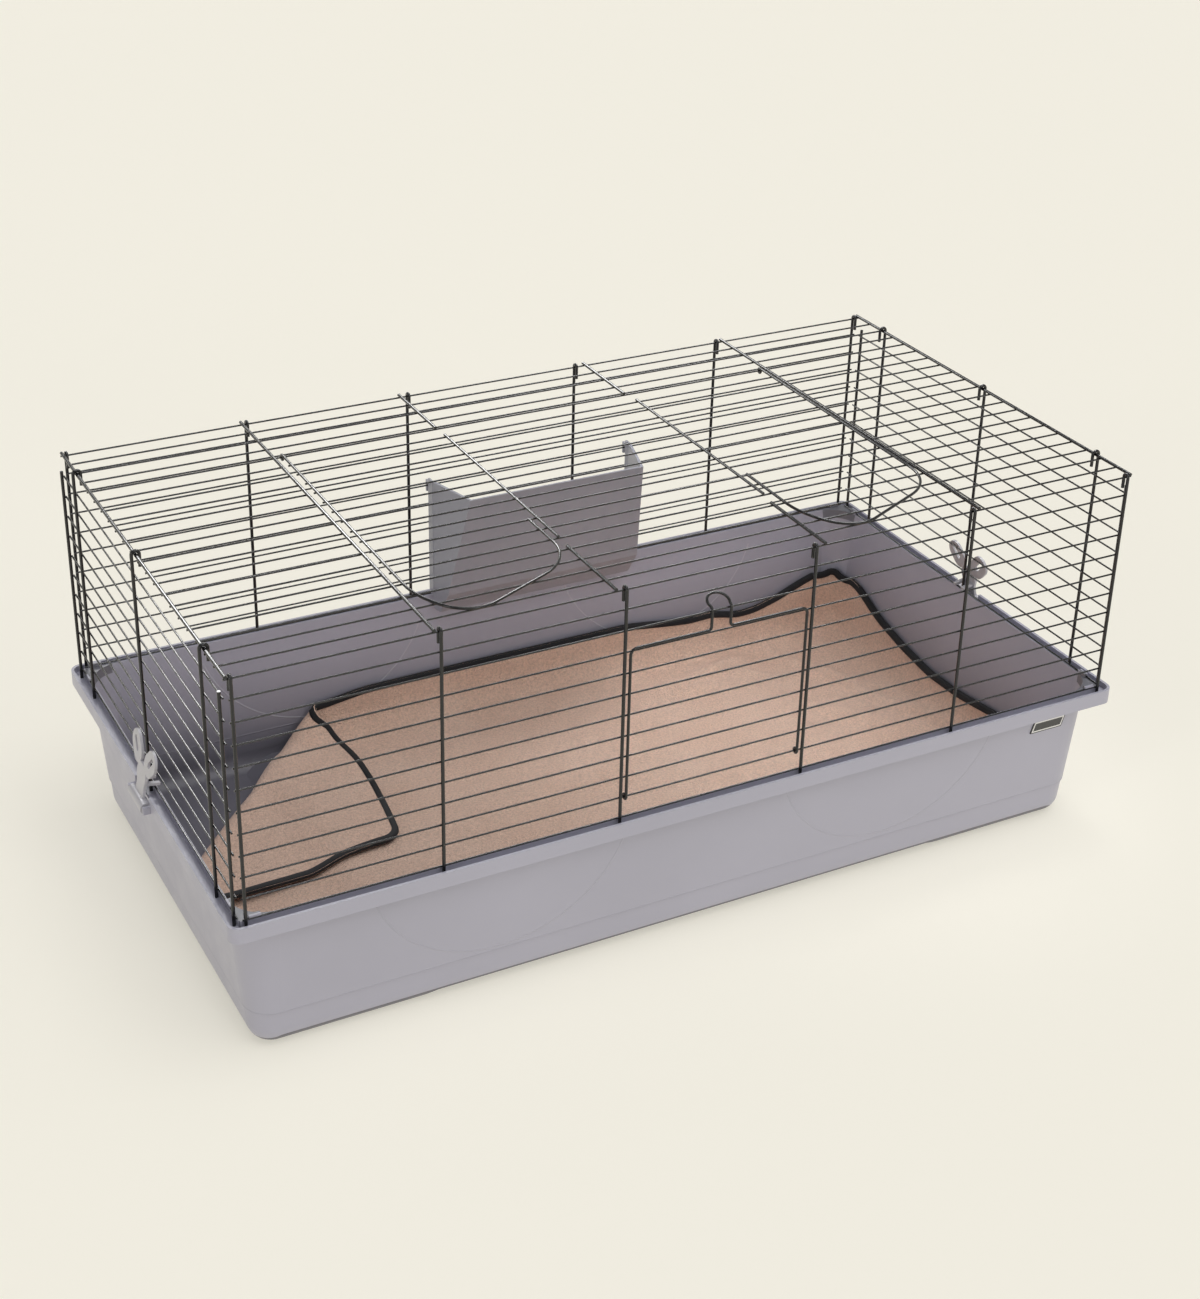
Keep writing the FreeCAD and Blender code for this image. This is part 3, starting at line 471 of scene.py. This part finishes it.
def laid(u, v):
    """Where a point of the unfolded sheet lies."""
    past_x = np.clip(np.abs(u) - START_X, 0, None)
    past_y = np.clip(np.abs(v) - START_Y, 0, None)
    power = 2.5                      # how square the turned-up corners are
    run = (past_x ** power + past_y ** power) ** (1 / power)
    safe = np.maximum(run, 1e-6)
    across, up = rise(run)
    x = np.sign(u) * (np.minimum(np.abs(u), START_X) + across * past_x / safe)
    y = np.sign(v) * (np.minimum(np.abs(v), START_Y) + across * past_y / safe)
    z = floor_height(x) + HALF + BED + up
    return np.stack([x, y, z], axis=1)


def facing(u, v):
    """The upper side's normal on the unfolded sheet."""
    step = 1.5
    along_u = laid(u + step, v) - laid(u - step, v)
    along_v = laid(u, v + step) - laid(u, v - step)
    normal = np.cross(along_u, along_v)
    return normal / np.maximum(np.linalg.norm(normal, axis=1, keepdims=True), 1e-9)


fold_line = (FOLD_BACK - FOLD_LEFT) / np.linalg.norm(FOLD_BACK - FOLD_LEFT)
fold_out = np.array([-fold_line[1], fold_line[0]])    # points to the folded corner


def fade(distance, reach):
    """1 at an edge, falling smoothly to 0 over about that reach from it."""
    return np.exp(-(np.clip(distance, 0, None) / reach) ** 2)


def flap_bow(u, v, past, back):
    """How far the flap's two free edges hang off their straight lines, in u and in v."""
    top = back_edge(np.array([CUT_LEFT]))[0]
    down_left = np.clip((v - FOLD_LEFT[1]) / (top - FOLD_LEFT[1]), 0, 1)
    down_back = np.clip((FOLD_BACK[0] - u) / (FOLD_BACK[0] - CUT_LEFT), 0, 1)
    near_left = fade(u - CUT_LEFT, EDGE_REACH)
    near_back = fade(back_edge(u) - v, EDGE_REACH)
    bow = 32.0 * np.sin(math.pi * down_back ** 0.85) * near_back * smooth(past, 0, 40)
    sag = 14.0 * down_left ** 4 + 20.0 * np.sin(math.pi * down_left) * (1 - 0.45 * down_left)
    ripple = 2.0 * np.sin(down_left * 8.0 + 0.5) ** 2 * near_left ** 0.8
    return bow, -sag * near_left * smooth(back, 0, 28), ripple


def cloth_points(u, v):
    """Where points of the cut end up, with the corner folded over: places in the tub."""
    beyond = (u - FOLD_LEFT[0]) * fold_out[0] + (v - FOLD_LEFT[1]) * fold_out[1]
    along = (u - FOLD_LEFT[0]) * fold_line[0] + (v - FOLD_LEFT[1]) * fold_line[1]
    past = np.clip(beyond, 0, None)
    roll = ROLL * (1 - 0.55 * smooth(along, 400, 480))    # tighter where it leans on the wall
    arc = np.clip(past / roll, 0, math.pi)
    back = np.clip(past - math.pi * roll, 0, None)
    offset = np.where(beyond > 0, roll * np.sin(arc) - back, beyond)
    settled = FLAP_LAYER + (2 * roll - FLAP_LAYER) * np.exp(-back / SETTLE_REACH)
    lift = np.where(back > 0, settled, roll * (1 - np.cos(arc)))
    bow_u, bow_v, ripple = flap_bow(u, v, past, back)
    flat_u = FOLD_LEFT[0] + along * fold_line[0] + offset * fold_out[0] + bow_u
    flat_v = FOLD_LEFT[1] + along * fold_line[1] + offset * fold_out[1] + bow_v
    # a soft wave runs along the flap's middle
    middle_wave = 2.5 * np.sin(along / 48.0) ** 2 * np.exp(-(back - 70) ** 2 / 1800.0)
    lift = lift + (ripple + middle_wave) * smooth(back, 10, 80)
    raised = wrinkles(flat_u, flat_v) + lift
    places = laid(flat_u, flat_v) + facing(flat_u, flat_v) * raised[:, None]
    return keep_inside(places, HALF + 0.5)


def cut_point(s, t):
    """Flat coordinates of the cut at a share s of its width and t of its depth."""
    nominal = CUT_LEFT + s * CUT_WIDTH
    v = soften(back_edge, nominal) - (1 - t) * CUT_LENGTH
    u = CUT_LEFT + s * (soften(right_edge, v) - CUT_LEFT)
    return u, v


CORNER = 22.0                        # the cut's rounded corners


def round_corner_share(t):
    """How much a row of the cut is shortened at each end by the round corners, as a share."""
    from_end = np.minimum(t, 1 - t) * CUT_LENGTH
    inset = CORNER - np.sqrt(np.clip(CORNER ** 2 - np.clip(CORNER - from_end, 0, None) ** 2, 0, None))
    return inset / CUT_WIDTH


def mesh_piece(name, points, faces, material):
    """A smooth-shaded mesh object from points in millimetres."""
    mesh = bpy.data.meshes.new(name)
    mesh.from_pydata([tuple(point) for point in np.asarray(points) * MM], [], faces)
    mesh.validate()
    mesh.update()
    piece = bpy.data.objects.new(name, mesh)
    bpy.context.scene.collection.objects.link(piece)
    mesh.materials.append(material)
    mesh.polygons.foreach_set("use_smooth", [True] * len(mesh.polygons))
    return piece


def fleece_sheet():
    columns, rows = 260, 130
    t = np.repeat(np.linspace(0, 1, rows + 1), columns + 1)
    s = np.tile(np.linspace(0, 1, columns + 1), rows + 1)
    short = round_corner_share(t)
    s = short + s * (1 - 2 * short)
    points = cloth_points(*cut_point(s, t))
    faces = []
    for row in range(rows):
        for column in range(columns):
            first = row * (columns + 1) + column
            faces.append((first, first + 1, first + columns + 2, first + columns + 1))
    piece = mesh_piece("fleece_sheet", points, faces, materials["fleece"])
    thick = piece.modifiers.new("thickness", "SOLIDIFY")
    thick.thickness = THICKNESS * MM
    thick.offset = 0
    return piece


TAPE_WIDTH = 9.0
# the tape's cross-section: how far out from its middle, and its height as a share of half its thickness
TAPE_PROFILE = ((-4.4, 0.80), (-4.0, 1.0), (-1.0, 1.04), (2.2, 1.0), (4.0, 0.72), (4.8, 0.0),
                (4.0, -0.72), (2.2, -1.0), (-1.0, -1.04), (-4.0, -1.0), (-4.4, -0.80))


def edge_walk():
    """Steps round the cut's edge: place as shares of width and depth, and the way out of the sheet."""
    steps = []
    count_long, count_deep, count_round = 210, 104, 9
    inner_s = CORNER / CUT_WIDTH
    inner_t = CORNER / CUT_LENGTH

    def corner_arc(centre_s, centre_t, first):
        for index in range(count_round):
            angle = math.radians(first + 90.0 * (index + 0.5) / count_round)
            out = (math.cos(angle), math.sin(angle))
            steps.append((centre_s + out[0] * inner_s, centre_t + out[1] * inner_t, *out))

    for share in np.linspace(inner_s, 1 - inner_s, count_long):
        steps.append((share, 0.0, 0.0, -1.0))
    corner_arc(1 - inner_s, inner_t, -90)
    for share in np.linspace(inner_t, 1 - inner_t, count_deep):
        steps.append((1.0, share, 1.0, 0.0))
    corner_arc(1 - inner_s, 1 - inner_t, 0)
    for share in np.linspace(1 - inner_s, inner_s, count_long):
        steps.append((share, 1.0, 0.0, 1.0))
    corner_arc(inner_s, 1 - inner_t, 90)
    for share in np.linspace(1 - inner_t, inner_t, count_deep):
        steps.append((0.0, share, -1.0, 0.0))
    corner_arc(inner_s, inner_t, 180)
    return np.array(steps)


def binding_tape():
    """A closed band folded over the sheet's edge all the way round."""
    s, t, out_s, out_t = edge_walk().T

    def inward(distance):
        return cloth_points(*cut_point(s - out_s * distance / CUT_WIDTH, t - out_t * distance / CUT_LENGTH))

    edge = inward(0.0)
    middle = inward(TAPE_WIDTH * 0.45)
    inner = inward(TAPE_WIDTH)
    after = np.roll(middle, -1, axis=0) - np.roll(middle, 1, axis=0)
    after /= np.linalg.norm(after, axis=1, keepdims=True)
    outward = edge - inner
    outward -= after * (outward * after).sum(axis=1, keepdims=True)
    outward /= np.maximum(np.linalg.norm(outward, axis=1, keepdims=True), 1e-9)
    up = np.cross(after, outward)
    half_thick = HALF + 1.1
    ring = [middle + outward * across + up * (thick * half_thick) for across, thick in TAPE_PROFILE]
    count = len(s)
    size = len(TAPE_PROFILE)
    points = np.stack(ring, axis=1).reshape(-1, 3)
    points = keep_inside(points, 0.4)
    faces = []
    for step in range(count):
        following = (step + 1) % count
        for side in range(size):
            other = (side + 1) % size
            faces.append((step * size + side, following * size + side, following * size + other,
                          step * size + other))
    return mesh_piece("fleece_binding", points, faces, materials["tape"])


fleece = fleece_sheet()
binding = binding_tape()
for piece, node, slot in ((fleece, "fleece_liner", "fleece"), (binding, "liner_binding", "binding")):
    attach(piece, ROOT)
    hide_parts(node)


# ------------------------------------------------------------------ floor, light and camera

def area_light(name, place, target, width, height, power, shine_only=False, spread=180):
    """A soft box aimed at a target. One with shine_only adds nothing but gloss, as on the wires."""
    light = bpy.data.lights.new(name, "AREA")
    light.shape = "RECTANGLE"
    light.size = width
    light.size_y = height
    light.energy = power
    light.spread = math.radians(spread)
    lamp = bpy.data.objects.new(name, light)
    bpy.context.scene.collection.objects.link(lamp)
    lamp.location = place
    lamp.rotation_euler = (Vector(target) - Vector(place)).to_track_quat("-Z", "Y").to_euler()
    lamp.visible_diffuse = not shine_only


def sun_light(name, direction, strength, spread):
    """A broad, even light from a direction; spread is its width in degrees."""
    light = bpy.data.lights.new(name, "SUN")
    light.energy = strength
    light.angle = math.radians(spread)
    lamp = bpy.data.objects.new(name, light)
    bpy.context.scene.collection.objects.link(lamp)
    lamp.rotation_euler = Vector(direction).to_track_quat("Z", "Y").to_euler()


def cove_floor():
    """A flat floor that runs far out and curves up there into a low cove, so no view sees past it."""
    rings = ((20.0, 0.0), (24.0, 0.25), (28.0, 1.2), (31.0, 3.0), (33.0, 6.5))    # distance, height
    sectors = 72
    points = [(0, 0, 0)]
    for distance, height in rings:
        for sector in range(sectors):
            turn = 2 * math.pi * sector / sectors
            points.append((distance * math.cos(turn), distance * math.sin(turn), height))
    faces = []
    for sector in range(sectors):
        following = (sector + 1) % sectors
        faces.append((0, 1 + sector, 1 + following))
        for ring in range(len(rings) - 1):
            first = 1 + ring * sectors
            faces.append((first + sector, first + sectors + sector, first + sectors + following,
                          first + following))
    paper = Shader("floor_paper", Roughness=0.9, Specular_IOR_Level=0.1)
    paper.bsdf.inputs["Base Color"].default_value = (0.550, 0.530, 0.470, 1)
    paper.bsdf.inputs["Emission Color"].default_value = (1.0, 0.965, 0.855, 1)
    paper.bsdf.inputs["Emission Strength"].default_value = 0.455    # a lit table: shadows stay faint
    mesh_piece("floor", np.array(points) / MM, faces, paper.material)


def studio_world():
    """An even, weak light from all round."""
    world = bpy.data.worlds.new("studio")
    world.use_nodes = True
    backdrop = world.node_tree.nodes["Background"]
    backdrop.inputs["Color"].default_value = (0.95, 0.95, 0.95, 1)
    backdrop.inputs["Strength"].default_value = 0.32
    bpy.context.scene.world = world


def studio_camera(place, azimuth, elevation, roll, lens, shift):
    """A camera at a place; azimuth 0 looks along +Y, elevation looks down, angles in degrees."""
    azimuth, elevation, roll = (math.radians(angle) for angle in (azimuth, elevation, roll))
    forward = Vector((-math.sin(azimuth) * math.cos(elevation), math.cos(azimuth) * math.cos(elevation),
                      -math.sin(elevation)))
    level = Vector((math.cos(azimuth), math.sin(azimuth), 0))
    above = level.cross(forward)
    right = level * math.cos(roll) + above * math.sin(roll)
    up = above * math.cos(roll) - level * math.sin(roll)
    turned = Matrix((right, up, -forward)).transposed().to_4x4()
    data = bpy.data.cameras.new("camera")
    data.sensor_width = 36
    data.lens = lens
    data.shift_x, data.shift_y = shift
    data.clip_end = 60
    camera = bpy.data.objects.new("camera", data)
    bpy.context.scene.collection.objects.link(camera)
    camera.matrix_world = Matrix.Translation(place) @ turned
    bpy.context.scene.camera = camera


cove_floor()
studio_world()
sun_light("sky", (0.2, -0.3, 1.0), 1.3, 60)
area_light("grid_box", (0.46, 0.16, 1.0), (0.26, -0.01, 0), 0.70, 0.36, 0.36, spread=38)
area_light("overhead", (1.3, 1.2, 2.6), (0, 0, 0.4), 1.2, 0.5, 45.0, shine_only=True)
area_light("behind", (-0.2, 2.6, 2.1), (0, 0, 0.4), 2.4, 0.3, 45.0, shine_only=True)
sun_light("low_left", (-3.0, -0.9, 0.78), 0.36, 12)
sun_light("low_front", (0.6, -3.2, 0.8), 0.36, 12)
studio_camera((-1.11787, -2.08767, 1.5583), azimuth=-28.41, elevation=27.34, roll=1.506, lens=60.26,
              shift=(-0.0025, -0.0555))
bpy.context.scene.view_settings.view_transform = "Standard"
